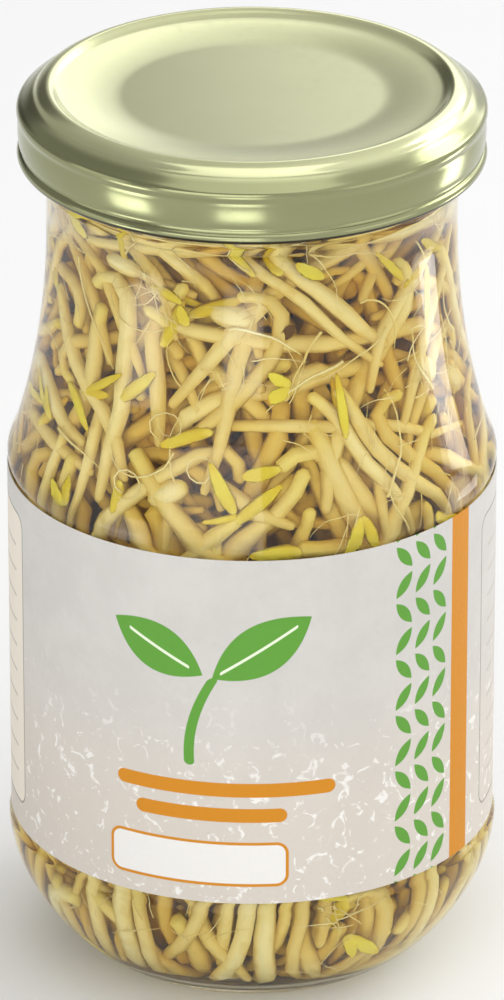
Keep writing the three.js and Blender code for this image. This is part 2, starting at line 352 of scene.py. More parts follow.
def brine_material():
    """Liquid that turns amber with depth, through its volume."""
    made, _, _ = see_through("brine", (0.99, 0.97, 0.92), 1.34, (0.99, 0.98, 0.94))
    tree = made.node_tree
    depth = tree.nodes.new("ShaderNodeVolumeAbsorption")
    depth.inputs["Color"].default_value = (0.93, 0.77, 0.15, 1)
    depth.inputs["Density"].default_value = 200
    tree.links.new(depth.outputs[0], tree.nodes["Material Output"].inputs["Volume"])
    return made


# %% [markdown]
# The jar and its liquid
#
# The glass body is the outside profile joined to the cavity's, and the brine is the cavity's profile up
# to its level. The brine reaches a hair into the glass: two faces in exactly one place would flicker, and
# a gap of air between them would shine like a mirror.

# %% Glass jar
glass_finish = glass_material()
glass = link(spin(glass_outside() + cavity()[::-1]), "glass_body", glass_finish)
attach(glass, "jar")
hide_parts("glass_jar")
print("Glass has", len(glass.data.polygons), "faces")

# %% Brine
BRINE_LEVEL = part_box("brine")[1].z / MM
SOAK = 0.03  # how far the brine reaches into the glass, so that no air shows between them


def below(profile, height):
    """The part of a profile under a height, ended there."""
    kept = [pair for pair in profile if pair[1] < height]
    return kept + [(kept[-1][0], height)]


liquid = below(outward(cavity(), SOAK), BRINE_LEVEL) + [(0, BRINE_LEVEL)]
brine = link(spin(liquid), "brine_body", brine_material())
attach(brine, "jar")
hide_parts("brine")
print("Brine has", len(brine.data.polygons), "faces and stands", round(BRINE_LEVEL, 1), "mm high")

# %% [markdown]
# Growing the sprouts
#
# Packed sprouts lie along the glass. They could be dropped in as rigid bodies, but that is slow and can't
# be told how they should lean. So each one starts as a chain of points laid out on the inside of the jar:
# it leans from upright, bends a little on its way, and often ends in a hook. The jar is filled in zones,
# because the sprouts at its bottom stand nearly upright and those in its neck lie every way.

# %% Places inside the jar
inside = np.array(cavity())
path = np.concatenate(([0.0], np.cumsum(np.hypot(*np.diff(inside, axis=0).T))))


def spot(distance, turn, depth):
    """A point by its distance along the wall from the middle of the floor, its turn, and its depth."""
    radius, height = (np.interp(distance, path, inside[:, k]) for k in (0, 1))
    along = Vector([np.interp(distance + 1, path, inside[:, k]) for k in (0, 1)])
    along -= Vector([np.interp(distance - 1, path, inside[:, k]) for k in (0, 1)])
    along.normalize()
    reach = radius - along.y * depth
    return Vector((reach * math.cos(turn), reach * math.sin(turn), height + along.x * depth))


rising = inside[inside[:, 0] > 20]


def room(heights, margin):
    """The largest radius that the inside has at these heights, less a margin."""
    return np.interp(heights, rising[:, 1], rising[:, 0]) - margin


print("The wall is", round(path[-1], 1), "mm long from the middle of the floor to the rim")

# %% Sizes of a sprout
LINK = 3.0
STEM_RADIUS = 1.42
SKIN = STEM_RADIUS + 0.45  # how deep the outer stems lie, with room for root hairs
CROWN = BRINE_LEVEL - 1.6
FLOOR_INSIDE = FLOOR_HEIGHT + STEM_RADIUS + 0.3
FLOOR_DIP = 0.9  # how much lower the cavity's floor is towards its edge
HOOK_LINKS = 5
PATH_END = float(np.interp(CROWN - 2, inside[-3:, 1], path[-3:]))
chance = random.Random(7)
print("A sprout's points are", LINK, "mm apart, and its stem is", 2 * STEM_RADIUS, "mm thick")

# %% Zones of the jar
# Each has a number of sprouts, where their middles lie along the wall, how they lean in degrees and how
# much that varies, the share that ends in a hook, and their lengths.
ZONES = {
    "low": (215, 18, 42, 0, 8, 0.05, (26, 46)),
    "middle": (170, 42, 92, 20, 18, 0.2, (30, 50)),
    "high": (430, 90, PATH_END, 38, 20, 0.42, (24, 50)),
    "beans": (44, 88, PATH_END, 45, 30, 0.0, (5, 7)),
}
LAYERS = (0.0, 2.4, 0.0, 3.8, 1.2, 5.0, 2.4, 6.5, 8.5, 12.0)  # how much deeper than the skin

# %% Growing one chain


def grow(middle, lean, hook, depth, length):
    """One chain whose middle is at this distance along the wall."""
    links = round(length / LINK)
    heading = lean * chance.choice((-1, 1))
    turn = chance.uniform(0, math.tau)
    half = links * LINK / 2
    middle_spot = spot(middle, turn, depth)
    around = max(math.hypot(middle_spot.x, middle_spot.y), 8)
    distance = middle - half * math.cos(heading)
    turn -= half * math.sin(heading) / around
    bend = chance.gauss(0, 0.035)
    slope = chance.gauss(0, 0.12)
    points = []
    for i in range(links + 1):
        distance = min(max(distance, 5), PATH_END)
        point = spot(distance, turn, max(depth + slope * (i - links / 2), SKIN))
        points.append(point)
        distance += LINK * math.cos(heading)
        turn += LINK * math.sin(heading) / max(math.hypot(point.x, point.y), 6)
        heading += hook if i > links - HOOK_LINKS else bend
    return points


# %% Filling the zones


def grow_zone(count, start, end, lean, spread, hooked, lengths):
    made = []
    for i in range(count):
        middle = start + (end - start) * (i + 0.5) / count
        tilt = math.radians(chance.gauss(lean, spread))
        hook = chance.choice((-1, 1)) * chance.uniform(0.5, 0.95) if chance.random() < hooked else 0.0
        depth = SKIN + LAYERS[i % len(LAYERS)] * chance.uniform(0.8, 1.2)
        made.append(grow(middle, tilt, hook, depth, chance.uniform(*lengths)))
    return made


grown = {zone: grow_zone(*values) for zone, values in ZONES.items()}
print({zone: len(made) for zone, made in grown.items()}, "sprouts grown")

# %% [markdown]
# Settling the sprouts
#
# Many of the chains cross. So points that are too near are pushed apart, the links are pulled back to
# their length, longer ties keep the stems stiff, and the glass holds them all in. A hundred and some
# rounds of this leave a packed bunch.

# %% Glass and neighbours


def hold_in(points):
    """Moves points back inside the glass."""
    points[:, 2] = np.clip(points[:, 2], FLOOR_INSIDE - FLOOR_DIP, CROWN)
    radii = np.hypot(points[:, 0], points[:, 1])
    shrink = np.minimum(1, room(points[:, 2], SKIN) / np.maximum(radii, 1e-6))
    points[:, :2] *= shrink[:, None]
    floor = np.interp(radii, (0, 19), (FLOOR_INSIDE, FLOOR_INSIDE - FLOOR_DIP))
    points[:, 2] = np.maximum(points[:, 2], floor)


def close_pairs(points, owner, reach):
    """Pairs of points nearer than reach, without those that are near on the same chain."""
    tree = KDTree(len(points))
    for i, point in enumerate(points):
        tree.insert(point, i)
    tree.balance()
    pairs = []
    for i, point in enumerate(points):
        for _, j, _ in tree.find_range(point, reach):
            if j > i and (owner[i] != owner[j] or j - i > 3):
                pairs.append((i, j))
    return np.array(pairs)


# %% Springs between points


def pull(points, first, second, rest, stiffness, only_push=False):
    """Moves both points of each pair towards their rest distance."""
    gap = points[second] - points[first]
    length = np.maximum(np.linalg.norm(gap, axis=1), 1e-6)
    wrong = length - rest
    if only_push:
        wrong = np.minimum(wrong, 0)
    move = gap * (0.5 * stiffness * wrong / length)[:, None]
    count = 1 + 0.3 * (np.bincount(first[wrong < 0], minlength=len(points)) if only_push else 0)
    for axis in range(3):
        total = np.bincount(first, move[:, axis], len(points))
        total -= np.bincount(second, move[:, axis], len(points))
        points[:, axis] += total / count


# %% Rounds of settling
TIES = ((1, 1.0), (2, 0.8), (4, 0.7), (8, 0.6))  # how many links a tie spans, and its stiffness
NEAR = 2 * STEM_RADIUS + 0.9  # points nearer than this are watched
WATCH_ROUNDS = 7  # rounds until the near points are looked up again


def settle(chains, rounds):
    """Pushes the chains apart inside the jar and gives them back."""
    sizes = [len(chain) for chain in chains]
    owner = np.repeat(np.arange(len(chains)), sizes)
    points = np.array([tuple(point) for chain in chains for point in chain])
    ties = []
    for step, stiffness in TIES:
        first = np.nonzero(owner[:-step] == owner[step:])[0]
        rest = np.linalg.norm(points[first + step] - points[first], axis=1)
        ties.append((first, first + step, rest, stiffness))
    hold_in(points)
    for i in range(rounds):
        if i % WATCH_ROUNDS == 0:
            near = close_pairs(points, owner, NEAR)
        pull(points, near[:, 0], near[:, 1], 2 * STEM_RADIUS, 0.8, only_push=True)
        for tie in ties:
            pull(points, *tie)
        hold_in(points)
    gaps = np.linalg.norm(points[near[:, 0]] - points[near[:, 1]], axis=1)
    crowded = int((gaps < 1.5 * STEM_RADIUS).sum())
    print("Pairs of points still too near:", crowded, "of", len(points), "points")
    for _ in range(2):
        inner = (owner[:-2] == owner[2:]).nonzero()[0] + 1
        points[inner] = points[inner] * 0.5 + (points[inner - 1] + points[inner + 1]) * 0.25
    return np.split(points, np.cumsum(sizes)[:-1])


ROUNDS = 140
settled = settle([chain for made in grown.values() for chain in made], ROUNDS)

# %% [markdown]
# From a chain to a stem
#
# A curve with a bevel could follow each chain. Here one straight tube is built once and bent along all of
# them instead, because its vertices can then carry a colour for every sprout. Its rings stand closer
# together at the hooked end, where the stem turns most. A ring is set across the chain, and its radius
# follows the plant: thin at the root, full in the middle, a little narrower at the neck. Root hairs use
# the same tube with fewer sides.

# %% A straight tube


def tube(sides, rings):
    """A straight closed tube of radius 1 whose rings stand at heights 0, 1, 2 and so on."""
    bm = bmesh.new()
    bmesh.ops.create_circle(bm, segments=sides, radius=1)
    edges = list(bm.edges)
    for _ in range(rings - 1):
        made = bmesh.ops.extrude_edge_only(bm, edges=edges)["geom"]
        verts = [item for item in made if isinstance(item, bmesh.types.BMVert)]
        edges = [item for item in made if isinstance(item, bmesh.types.BMEdge)]
        bmesh.ops.translate(bm, verts=verts, vec=(0, 0, 1))
        edges = [edge for edge in edges if all(vert in verts for vert in edge.verts)]
    bmesh.ops.holes_fill(bm, edges=bm.edges, sides=sides)
    bmesh.ops.recalc_face_normals(bm, faces=bm.faces)
    data = bpy.data.meshes.new("tube")
    bm.to_mesh(data)
    bm.free()
    return data


# %% Places along a chain


def between(chain, share):
    """A smooth place along a chain, share 0 at its start and 1 at its end."""
    reach = share * (len(chain) - 1)
    i = min(int(reach), len(chain) - 2)
    t = reach - i
    a, b, c, d = (Vector(chain[min(max(k, 0), len(chain) - 1)]) for k in (i - 1, i, i + 1, i + 2))
    return b + 0.5 * t * (c - a + t * (2 * a - 5 * b + 4 * c - d + t * (3 * (b - c) + d - a)))


def new_bunch():
    """An empty bmesh whose vertices carry a sprout's tone and how far along it they are."""
    bm = bmesh.new()
    bm.verts.layers.float.new("tone")
    bm.verts.layers.float.new("along")
    return bm


def keep_inside(place, margin):
    """Moves a point back from the glass."""
    reach = math.hypot(place.x, place.y)
    limit = float(room(place.z, margin))
    if reach > limit:
        place.x *= limit / reach
        place.y *= limit / reach
    return place


# %% Bending a tube along a chain
ROUND_END = 0.02  # share of the length in which each end closes


def bend_tube(bm, template, rings, chain, thickness, tone, crowd=0.0):
    """Adds a copy of the template to bm, bent along the chain. Crowd moves the rings towards its end."""
    shares = [t + crowd * t * (1 - t) for t in (k / (rings - 3) for k in range(rings - 2))]
    shares = [0, ROUND_END, *shares[1:-1], 1 - ROUND_END, 1]
    spots = [between(chain, share) for share in shares]
    side = (spots[1] - spots[0]).orthogonal()
    sides = []
    for k in range(rings):
        way = (spots[min(k + 1, rings - 1)] - spots[max(k - 1, 0)]).normalized()
        side = (side - way * side.dot(way)).normalized()
        sides.append((side, way.cross(side)))
    before = len(bm.verts)
    bm.from_mesh(template)
    bm.verts.ensure_lookup_table()
    tone_layer, along_layer = (bm.verts.layers.float[name] for name in ("tone", "along"))
    for vert in bm.verts[before:]:
        k = round(vert.co.z)
        across, up = sides[k]
        vert.co = spots[k] + (across * vert.co.x + up * vert.co.y) * thickness(shares[k])
        vert[tone_layer] = tone
        vert[along_layer] = shares[k]


# %% From a bunch to an object


def finish_bunch(bm, name, material):
    """Keeps a bunch inside the glass and makes it an object that stands for part of the sprouts."""
    for vert in bm.verts:
        keep_inside(vert.co, 0.12)
    print(name, "has", len(bm.faces), "faces")
    made = link(bm, name, material)
    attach(made, "jar")
    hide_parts("sprouts")


# %% [markdown]
# Plant flesh
#
# No two sprouts have one colour. A material for each tone would do, but hundreds of sprouts are easier to
# vary through their vertices. Every vertex carries its sprout's tone and how far along it lies, and the
# finish mixes its colours by both: deeper towards the root, yellower towards the leaves, with small
# stains.

# %% A finish for plant flesh


def flesh(name, root, stem, dark, tip):
    """Wet plant flesh that changes colour from root to tip, from sprout to sprout, and in small stains."""
    made, shader, place = new_material(name, IOR=1.38, Specular_IOR_Level=0.12)
    tone = place.node("ShaderNodeAttribute", {}, out=2, attribute_name="tone")
    along = place.node("ShaderNodeAttribute", {}, out=2, attribute_name="along")
    stains = place.noise(260.0, 3.0)
    fine = place.noise(1100.0, 2.0)
    colour = mix(stem, dark, tone)
    colour = mix(colour, root, (1 - along.step(0.0, 0.25)) * 0.7)
    colour = mix(colour, tip, along.step(0.8, 1.0) * 0.7)
    colour = mix(colour, dark, stains.step(0.52, 0.72) * 0.55)
    feed(shader, "Base Color", colour)
    feed(shader, "Roughness", stains * 0.25 + 0.18)
    bump(shader, stains + fine * 0.4, 0.0003)
    return made


ROOT, STEM, DARK, TIP = srgb(222, 197, 126), srgb(242, 229, 184), srgb(224, 198, 126), srgb(232, 214, 122)
stem_finish = flesh("sprout_stem", ROOT, STEM, DARK, TIP)
LEAF_ROOT, LEAF, LEAF_DARK = srgb(238, 224, 120), srgb(226, 208, 70), srgb(214, 188, 52)
leaf_finish = flesh("seed_leaf", LEAF_ROOT, LEAF, LEAF_DARK, srgb(214, 178, 36))
hull_finish = flesh("hull_flake", srgb(92, 62, 26), srgb(112, 76, 32), srgb(70, 44, 18), srgb(96, 66, 28))
print("Finishes:", [finish.name for finish in (stem_finish, leaf_finish, hull_finish)])

# %% Sprout stems
STEM_SIDES, STEM_RINGS = 6, 11
stem_tube = tube(STEM_SIDES, STEM_RINGS)


def stem_thickness(radius, tail):
    """Thickness along a stem: a swell from the root over a tail, then full, and a narrower neck."""

    def at(share):
        if share in (0, 1):
            return 0.35 * radius
        return radius * min(1, 0.5 + 0.5 * share / tail) * (1 - 0.22 * max(0, share - 0.75) / 0.25)

    return at


def bean_thickness(radius):
    """A fat seed half, round at both ends."""
    return lambda share: radius * (0.3 + 0.7 * math.sin(math.pi * share) ** 0.6)


# %% A stem along every chain
owners = iter(settled)
chains = {zone: [next(owners) for _ in made] for zone, made in grown.items()}
for zone, members in chains.items():
    bunch = new_bunch()
    for chain in members:
        radius = STEM_RADIUS * chance.uniform(0.72, 1.12)
        thickness = stem_thickness(radius, chance.uniform(0.05, 0.5))
        if zone == "beans":
            thickness = bean_thickness(chance.uniform(1.7, 2.2))
        # In the low zone most tones lie near the paler stem colour. This is painted light, for the light that
        # reaches the bottom of the jar.
        tone = chance.random() ** (3 if zone == "low" else 1.1)
        bend_tube(bunch, stem_tube, STEM_RINGS, chain, thickness, tone, 0.5)
    finish_bunch(bunch, "sprout_stems_" + zone, stem_finish)

# %% [markdown]
# Hairs against the glass
#
# Fine roots float out of the bunch until the glass stops them. They lie in tufts, in small curls and in
# single long strands, so all three are drawn by one rule that wanders along the wall just inside the
# glass.

# %% Thin roots and root hairs
HAIR_SIDES, HAIR_RINGS = 4, 14
HAIR_LINK = 1.0
hair_tube = tube(HAIR_SIDES, HAIR_RINGS)


def hair(middle, turn, links, curl):
    """A chain just under the glass that wanders, or turns round in a curl."""
    distance = middle
    heading = chance.uniform(0, math.tau)
    depth = chance.uniform(0.28, 0.5)
    points = []
    for i in range(links):
        point = spot(min(max(distance, 20), PATH_END), turn, depth)
        points.append(point)
        distance += HAIR_LINK * math.cos(heading)
        turn += HAIR_LINK * math.sin(heading) / math.hypot(point.x, point.y)
        heading += curl + chance.gauss(0, 0.12)
    return points


def add_hair(middle, turn, links, curl, width):
    chain = hair(middle, turn, links, curl)
    tone = chance.random()
    bend_tube(hairs, hair_tube, HAIR_RINGS, chain, lambda share: width * (1.05 - 0.8 * share), tone)


# %% Tufts, curls and strands
TUFTS = ((62, 94, PATH_END), (20, 24, 40))  # how many, and the stretch of wall that they are on
TUFT_HAIRS = 5
CURLS, STRANDS = 46, 45
hairs = new_bunch()
for tufts, start, end in TUFTS:
    for i in range(tufts):
        middle, turn = chance.uniform(start, end), chance.uniform(0, math.tau)
        for _ in range(TUFT_HAIRS):
            place = middle + chance.gauss(0, 2), turn + chance.gauss(0, 0.07)
            add_hair(*place, chance.randint(4, 9), chance.gauss(0, 0.1), chance.uniform(0.07, 0.13))
for _ in range(CURLS):
    middle, turn = chance.uniform(96, PATH_END), chance.uniform(0, math.tau)
    add_hair(middle, turn, chance.randint(9, 18), chance.choice((0.1, 0.2, 0.5)), chance.uniform(0.12, 0.22))
for _ in range(STRANDS):
    middle, turn = chance.uniform(94, PATH_END), chance.uniform(0, math.tau)
    add_hair(middle, turn, chance.randint(9, 22), chance.gauss(0, 0.03), chance.uniform(0.16, 0.36))
finish_bunch(hairs, "root_hairs", stem_finish)

# %% [markdown]
# Leaves and flakes
#
# A seed leaf is a round ball pressed flat, drawn out and folded along its middle. It sits at a sprout's
# tip, a little way out towards the glass. The brown flakes of the bean's hull are the same blade, shorter
# and cupped.

# %% A folded blade


def blade(length, width, thick, fold):
    """A closed leaf along Z from 0 to length, pointed at both ends and folded along its middle."""
    bm = bmesh.new()
    bmesh.ops.create_uvsphere(bm, u_segments=8, v_segments=6, radius=1)
    for vert in bm.verts:
        across = vert.co.x * width / 2 * (1 - 0.25 * vert.co.z)
        raised = vert.co.y * thick / 2 + fold * across**2 / width
        vert.co = Vector((across, raised, (vert.co.z + 1) / 2 * length))
    data = bpy.data.meshes.new("blade")
    bm.to_mesh(data)
    bm.free()
    return data


def lay_blade(bm, template, base, way, facing, bend):
    """Adds a blade that starts at base, runs along way, faces facing, and curls by bend."""
    way = way.normalized()
    facing = (facing - way * facing.dot(way)).normalized()
    across = way.cross(facing)
    before = len(bm.verts)
    bm.from_mesh(template)
    bm.verts.ensure_lookup_table()
    tone_layer, along_layer = (bm.verts.layers.float[name] for name in ("tone", "along"))
    tone = chance.random()
    for vert in bm.verts[before:]:
        x, y, z = vert.co
        vert.co = base + across * x + facing * (y + bend * z * z) + way * z
        vert[tone_layer] = tone
        vert[along_layer] = z / 8


# %% Seed leaves
OUTER_LAYERS = 6  # sprouts that lie deeper than these show no leaves
LEAFY = 0.3  # share of the outer sprouts that have leaves
leaves = new_bunch()
leaf_shapes = [blade(8.5, 2.2, 0.35, 1.4), blade(5.4, 1.9, 0.35, 0.9), blade(9.5, 1.5, 0.35, 1.6)]
for zone in ("low", "high"):
    for i, chain in enumerate(chains[zone]):
        if i % len(LAYERS) >= OUTER_LAYERS or chance.random() > LEAFY:
            continue
        tip = Vector(chain[-1])
        way = tip - Vector(chain[-2])
        inward = Vector((-tip.x, -tip.y, 0)).normalized()
        tip -= inward * (float(room(tip.z, 0.9)) - math.hypot(tip.x, tip.y))
        for _ in range(chance.choice((1, 2))):
            aim = way + Vector([chance.gauss(0, 1.1) for _ in range(3)])
            shape = chance.choice(leaf_shapes)
            lay_blade(leaves, shape, tip - way * 0.3, aim, inward, chance.uniform(-0.03, 0.05))
finish_bunch(leaves, "seed_leaves", leaf_finish)

# %% Hull flakes
hulls = new_bunch()
hull_shape = blade(2.9, 1.6, 0.3, -0.9)
for middle in (104, 131, 33, 27):
    base = spot(middle, chance.uniform(0, math.tau), 0.9)
    inward = Vector((-base.x, -base.y, 0)).normalized()
    way = Vector([chance.gauss(0, 1) for _ in range(3)])
    lay_blade(hulls, hull_shape, base, way - inward * way.dot(inward), inward, 0.03)
finish_bunch(hulls, "hull_flakes", hull_finish)

# %% [markdown]
# The lid
#
# The cap is pressed from one thin sheet: a rolled edge, a straight skirt, a stepped shoulder, a crest and
# a dished top. A Solidify modifier can't thicken a sheet that rolls up on itself, so the profile draws
# both faces. It runs up the outer one to the axis and back down the inner one.

# %% Sizes of the lid
CAP_RADIUS = 33.25
CAP_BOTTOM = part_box("lid")[0].z / MM
CAP_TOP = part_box("lid")[1].z / MM
CAP_CURL = 0.85
CAP_SKIRT = 33.0
SHEET = 0.3
DISH_HEIGHT = 131.6
DISH_RADIUS = 18.1
print("The lid is", round(CAP_TOP - CAP_BOTTOM, 2), "mm tall")

# %% The lid's profile


def lid_profile():
    """The outer face from the rolled edge up to the axis, and the inner face back down."""
    middle = CAP_BOTTOM + CAP_CURL
    profile = [
        (CAP_RADIUS - CAP_CURL + CAP_CURL * math.cos(a), middle + CAP_CURL * math.sin(a))
        for a in np.linspace(-math.pi / 2, math.radians(75), 12)
    ]
    belly = CAP_SKIRT + 0.14
    skirt_bottom, skirt_top = (CAP_SKIRT, CAP_BOTTOM + 2.6), (CAP_SKIRT, 128.6)
    profile += [skirt_bottom]
    profile += arc(skirt_bottom, (belly, CAP_BOTTOM + 3.7), (belly, 127.4), skirt_top, 8)
    profile += arc((CAP_SKIRT, 128.6), (CAP_SKIRT, 129.1), (33.3, 129.2), (CAP_RADIUS, 129.7), 6)
    profile += arc((CAP_RADIUS, 129.7), (CAP_RADIUS, 130.2), (33.0, 130.45), (32.7, 130.62), 6)
    profile += arc((32.7, 130.62), (32.2, 131.0), (31.6, 131.6), (31.1, 131.85), 6)
    profile += arc((31.1, 131.85), (30.7, 132.0), (30.6, 132.4), (30.2, 132.68), 6)
    profile += arc((30.2, 132.68), (29.7, 133.0), (29.2, CAP_TOP), (28.66, CAP_TOP), 6)
    profile += arc((28.66, CAP_TOP), (28.0, CAP_TOP), (27.7, 132.55), (26.6, 132.45), 8)
    profile += arc((26.6, 132.45), (24, 132.2), (20.5, DISH_HEIGHT), (DISH_RADIUS, DISH_HEIGHT), 8)
    profile += [(0, DISH_HEIGHT)]
    profile += [(0, DISH_HEIGHT - SHEET), (DISH_RADIUS, DISH_HEIGHT - SHEET), (26.6, 132.45 - SHEET)]
    profile += arc((26.6, 132.45 - SHEET), (27.5, 132.15), (27.9, 132.8), (28.4, CAP_TOP - SHEET), 5)
    profile += arc((28.4, CAP_TOP - SHEET), (29.0, CAP_TOP - SHEET), (29.6, 132.6), (30.0, 131.7), 5)
    profile += arc((30.0, 131.7), (31.0, 131.3), (32.0, 130.6), (CAP_SKIRT - SHEET, 129.6), 5)
    curl_inside = CAP_RADIUS - 2 * CAP_CURL
    profile += [(CAP_SKIRT - SHEET, CAP_BOTTOM + 2.6), (curl_inside, middle + 0.5)]
    profile += [(curl_inside, CAP_BOTTOM + 0.4)]
    return profile


# %% Lacquer on tinplate


def lid_material():
    """Pale green-gold lacquer over tinplate with a fine grain and faint marks, painted shade on the skirt and
    a painted shadow along the rolled edge.
    """
    made, shader, place = new_material("lid_lacquer", Metallic=0.9, Coat_Weight=0.15, Coat_Roughness=0.12)
    z = place.axes()[2]
    grain = place.noise(2600.0, 2.0)
    clouds = place.noise(60.0, 4.0)
    marks = place.noise(400.0, 6.0, Distortion=2.0)
    colour = mix(srgb(212, 214, 166), srgb(216, 218, 171), clouds.step(0.35, 0.65))
    # Painted shade: below the dish, the skirt and the lower shoulder get a darker colour that stands in for
    # the dark they mirror.
    colour = mix(srgb(149, 152, 112), colour, z.step((DISH_HEIGHT - 0.4) * MM, (DISH_HEIGHT + 0.8) * MM))
    # Painted shadow: a dark band along the bottom of the rolled edge, for the shade in the gap between the
    # lid and the glass.
    colour = mix(srgb(44, 38, 30), colour, z.step((CAP_BOTTOM + 0.55) * MM, (CAP_BOTTOM + 0.8) * MM))
    feed(shader, "Base Color", colour)
    feed(shader, "Roughness", marks.step(0.5, 0.75) * 0.04 + grain * 0.02 + 0.17)
    bump(shader, clouds + marks * 0.02, 0.00001)
    return made


# %% Lid
lid_finish = lid_material()
lid = link(spin(lid_profile(), closed=True), "lid_shell", lid_finish)
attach(lid, "lid")
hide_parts("lid")
print("Lid has", len(lid.data.polygons), "faces")

# %% [markdown]
# Threads and lugs
#
# Both hold the lid on and hide under its skirt. The four threads climb round the neck, and the four lugs
# are the lid's edge pressed inwards. Each is a ridge: a round profile swept along an arc, which fades at
# both ends. A ridge sinks a little into its neighbour instead of being joined to it by a boolean, which
# keeps both meshes clean.

# %% Ridges along an arc
THREADS = 4
THREAD_SPAN, THREAD_RISE, THREAD_LOW, THREAD_TALL, THREAD_OUT = 64, 1.5, 125.9, 1.3, 1.5
LUG_SPAN, LUG_OUT, LUG_TOP = 20, 1.15, 125.3


def ridge(bm, turn, span, place, steps=24, sides=10):
    """Sweeps a closed profile from turn over span degrees. Place gives a point's radius and height."""
    rings = []
    for i in range(steps + 1):
        angle = math.radians(turn + span * i / steps)
        ring = []
        for k in range(sides):
            radius, height = place(i / steps, math.tau * k / sides)
            ring.append(bm.verts.new((radius * math.cos(angle), radius * math.sin(angle), height)))
        rings.append(ring)
    for near, far in zip(rings, rings[1:]):
        for k in range(sides):
            bm.faces.new((near[k - 1], near[k], far[k], far[k - 1]))
    bm.faces.new(rings[0])
    bm.faces.new(rings[-1])
    bmesh.ops.recalc_face_normals(bm, faces=bm.faces)


def thread_place(along, angle):
    fade = min(1, 6 * along, 6 * (1 - along)) ** 0.5
    middle = THREAD_LOW + THREAD_TALL / 2 + THREAD_RISE * along
    return FINISH_RADIUS + THREAD_OUT * fade * math.cos(angle), middle + THREAD_TALL / 2 * math.sin(angle)


def lug_place(along, angle):
    fade = 0.2 + 0.8 * math.sin(math.pi * along) ** 0.5
    middle = (CAP_BOTTOM + 0.3 + LUG_TOP) / 2
    front = CAP_RADIUS - 2 * CAP_CURL - LUG_OUT * fade
    half = (CAP_RADIUS - 1.2 - front) / 2
    tall = (LUG_TOP - middle) * (0.75 + 0.25 * fade)
    return front + half + half * math.cos(angle), middle + tall * math.sin(angle)


# %% Threads and lugs
threads_bm = bmesh.new()
lugs_bm = bmesh.new()
for i in range(THREADS):
    ridge(threads_bm, i * 90, THREAD_SPAN, thread_place)
    ridge(lugs_bm, i * 90 + 3, LUG_SPAN, lug_place, steps=12)
threads = link(threads_bm, "glass_threads", glass_finish)
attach(threads, "jar")
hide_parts("glass_jar")
lugs = link(lugs_bm, "lid_lugs", lid_finish)
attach(lugs, "lid")
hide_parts("lid")
print("Threads have", len(threads.data.polygons), "faces and lugs", len(lugs.data.polygons))

# %% [markdown]
# The sealing ring
#
# A ring of soft compound fills the lid's channel and closes on the rim. It shows only through the glass
# from below, as a pale band.

# %% Sealing ring
ring_low, ring_high = (corner.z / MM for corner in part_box("lid_sealing_ring"))
ring_material, ring_shader, ring_place = new_material("sealing_compound", Roughness=0.6)
pores = ring_place.noise(900.0, 3.0)
feed(ring_shader, "Base Color", mix(srgb(226, 221, 204), srgb(206, 200, 180), pores.step(0.4, 0.7)))
bump(ring_shader, pores, 0.0001)
ring_profile = [(27.7, ring_low), (29.2, ring_low)]
ring_profile += arc((29.2, ring_low), (29.2, ring_low + 0.5), (28.9, ring_high), (28.5, ring_high), 6)
ring_profile += arc((28.5, ring_high), (28.1, ring_high), (27.9, ring_low + 0.4), (27.7, ring_low + 0.1), 6)
ring = link(spin(ring_profile, closed=True), "sealing_ring", ring_material)
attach(ring, "lid")
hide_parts("lid_sealing_ring")
print("Sealing ring has", len(ring.data.polygons), "faces")

# %% [markdown]
# The printed label
#
# A printed label could be a picture on a UV map. Here the print is worked out instead, because its edges
# then stay sharp however near the camera comes. It is drawn in millimetres on the unrolled strip: u runs
# round the jar from the front, v runs up. Boxes with round corners and leaf shapes are distances, and a
# step turns each distance into a crisp mask. The design is a plain one of this lesson's own: a seedling,
# ruled bars, empty panels, a stripe and a border of leaves.

# %% Sizes of the label
LABEL_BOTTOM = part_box("label")[0].z / MM
LABEL_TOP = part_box("label")[1].z / MM
LABEL_INNER = 35.0
LABEL_THICK = 0.14
LABEL_LAP = 12  # degrees in which the end lies over the start
LABEL_CLIMB = 8  # degrees in which it climbs there
LABEL_STEPS = 186
print("The label is", round(LABEL_TOP - LABEL_BOTTOM, 1), "mm tall")

# %% Shapes that can be printed


def rounded_box(u, v, middle, size, corner):
    """Distance to a box with round corners, less than 0 inside."""
    right = (u - middle[0]).math("ABSOLUTE") - (size[0] / 2 - corner)
    up = (v - middle[1]).math("ABSOLUTE") - (size[1] / 2 - corner)
    outside_right, outside_up = right.high(0.0), up.high(0.0)
    outside = (outside_right * outside_right + outside_up * outside_up).math("SQRT")
    return outside + right.high(up).low(0.0) - corner


def leaf_shape(u, v, middle, length, width, angle):
    """Distance to a pointed leaf that is turned by an angle in degrees, about 0 at its edge."""
    c, s = math.cos(math.radians(angle)), math.sin(math.radians(angle))
    right, up = u - middle[0], v - middle[1]
    along = (right * c + up * s) * (2 / length)
    across = (up * c - right * s).math("ABSOLUTE")
    return across - (1 - along * along) * (width / 2)


def fill(distance, edge=0.06):
    return 1 - distance.step(-edge, edge)


def outline(distance, width):
    return fill(distance.math("ABSOLUTE") - width / 2)


# %% Ink and paper
GREEN, ORANGE, GREY = srgb(92, 154, 52), srgb(206, 134, 16), srgb(150, 146, 138)


def paper(place, v, fibres, clouds):
    """Pale paper with soft clouds, warmer and flecked towards the bottom, with darker fibres."""
    flecks = place.noise(420.0, 5.0, Distortion=1.5)
    colour = mix(srgb(199, 196, 191), srgb(205, 202, 197), clouds.step(0.35, 0.65))
    colour = mix(colour, srgb(213, 202, 188), (1 - v.step(30, 62)) * 0.6)
    low = 1 - v.step(36, 58)
    colour = mix(colour, srgb(238, 236, 231), flecks.step(0.58, 0.66) * low * 0.9)
    return mix(colour, srgb(198, 189, 176), fibres.step(0.62, 0.78) * 0.5)


# %% The seedling


